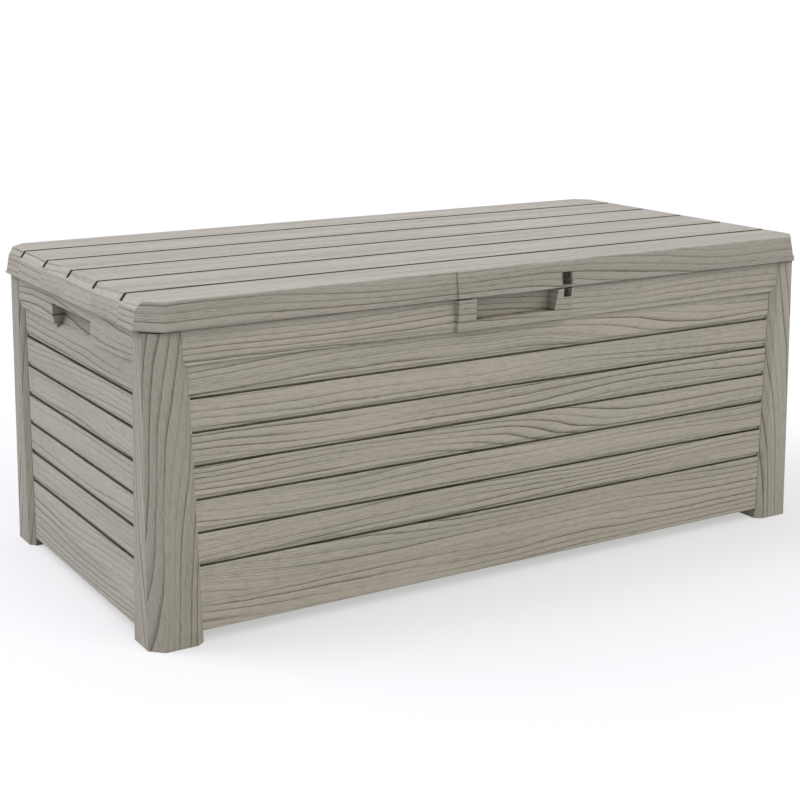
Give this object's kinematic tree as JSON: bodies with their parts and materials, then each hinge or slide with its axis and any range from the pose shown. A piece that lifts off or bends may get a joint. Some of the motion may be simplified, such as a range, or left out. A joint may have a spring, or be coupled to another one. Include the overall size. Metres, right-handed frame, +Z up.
{
  "type": "outdoor storage chest",
  "caption": "Long outdoor storage chest of wood-look resin panels between tapered corner posts, with a slatted lid on hinges and gas struts, hand grips and a padlock eye",
  "frame": {"origin": "centre of the footprint, on the ground", "axes": "+X right along the long front, +Y from the front to the back, +Z up; the front faces -Y"},
  "size_m": [1.454, 0.7346, 0.5935],
  "materials": {
    "lid_resin": "wood-grain moulded resin, matt",
    "wall_resin": "wood-grain moulded resin, matt",
    "post_resin": "wood-grain moulded resin, matt",
    "floor_resin": "plain moulded resin, matt",
    "tube_steel": "galvanised",
    "hinge_steel": "black coated",
    "pin_steel": "zinc plated",
    "screw_steel": "zinc plated",
    "strut_black": "satin black",
    "rod_chrome": "polished",
    "eye_plastic": "moulded black"
  },
  "bodies": {
    "base": {"post_front_left": "post_resin", "post_front_right": "post_resin", "post_back_left": "post_resin", "post_back_right": "post_resin", "front_panel": "wall_resin", "back_panel": "wall_resin", "left_panel": "wall_resin", "right_panel": "wall_resin", "floor_left": "floor_resin", "floor_right": "floor_resin", "floor_beam": "floor_resin", "hinge_1_body_leaf": "hinge_steel", "hinge_1_pin": "pin_steel", "hinge_2_body_leaf": "hinge_steel", "hinge_2_pin": "pin_steel", "hinge_3_body_leaf": "hinge_steel", "hinge_3_pin": "pin_steel", "hinge_body_screws": "screw_steel", "strut_left_body_bracket": "hinge_steel", "strut_right_body_bracket": "hinge_steel", "strut_body_screws": "screw_steel"},
    "lid": {"lid_shell": "lid_resin", "lid_liner": "floor_resin", "lid_liner_screws": "screw_steel", "lid_stiffener_front": "tube_steel", "lid_stiffener_back": "tube_steel", "hinge_1_lid_leaf": "hinge_steel", "hinge_2_lid_leaf": "hinge_steel", "hinge_3_lid_leaf": "hinge_steel", "hinge_lid_screws": "screw_steel", "strut_left_lid_bracket": "hinge_steel", "strut_right_lid_bracket": "hinge_steel", "strut_lid_screws": "screw_steel"},
    "strut_tube_left": {"strut_left_tube_eye": "eye_plastic", "strut_left_tube": "strut_black"},
    "strut_rod_left": {"strut_left_rod": "rod_chrome", "strut_left_rod_eye": "eye_plastic"},
    "strut_tube_right": {"strut_right_tube_eye": "eye_plastic", "strut_right_tube": "strut_black"},
    "strut_rod_right": {"strut_right_rod": "rod_chrome", "strut_right_rod_eye": "eye_plastic"}
  },
  "joints": [
    {"name": "lid_hinge", "type": "hinge", "parent": "base", "child": "lid", "pos_m": [0, 0.3568, 0.537], "axis": [-1, 0, 0], "range_deg": [0, 90]},
    {"name": "strut_left_swivel", "type": "hinge", "parent": "base", "child": "strut_tube_left", "pos_m": [-0.684, 0.2, 0.344], "axis": [-1, 0, 0], "range_deg": [0, 5.8]},
    {"name": "strut_left_slide", "type": "slide", "parent": "strut_tube_left", "child": "strut_rod_left", "axis": [0, 0.3951, 0.9186], "range_m": [0, 0.1065]},
    {"name": "strut_right_swivel", "type": "hinge", "parent": "base", "child": "strut_tube_right", "pos_m": [0.684, 0.2, 0.344], "axis": [-1, 0, 0], "range_deg": [0, 5.8]},
    {"name": "strut_right_slide", "type": "slide", "parent": "strut_tube_right", "child": "strut_rod_right", "axis": [0, 0.3951, 0.9186], "range_m": [0, 0.1065]}
  ],
  "couplings": [
    {"joint": "strut_left_swivel", "follows": "lid_hinge", "ratio": 0.064081},
    {"joint": "strut_left_slide", "follows": "lid_hinge", "m_per_rad": 0.067559},
    {"joint": "strut_right_swivel", "follows": "lid_hinge", "ratio": 0.064081},
    {"joint": "strut_right_slide", "follows": "lid_hinge", "m_per_rad": 0.067559}
  ]
}
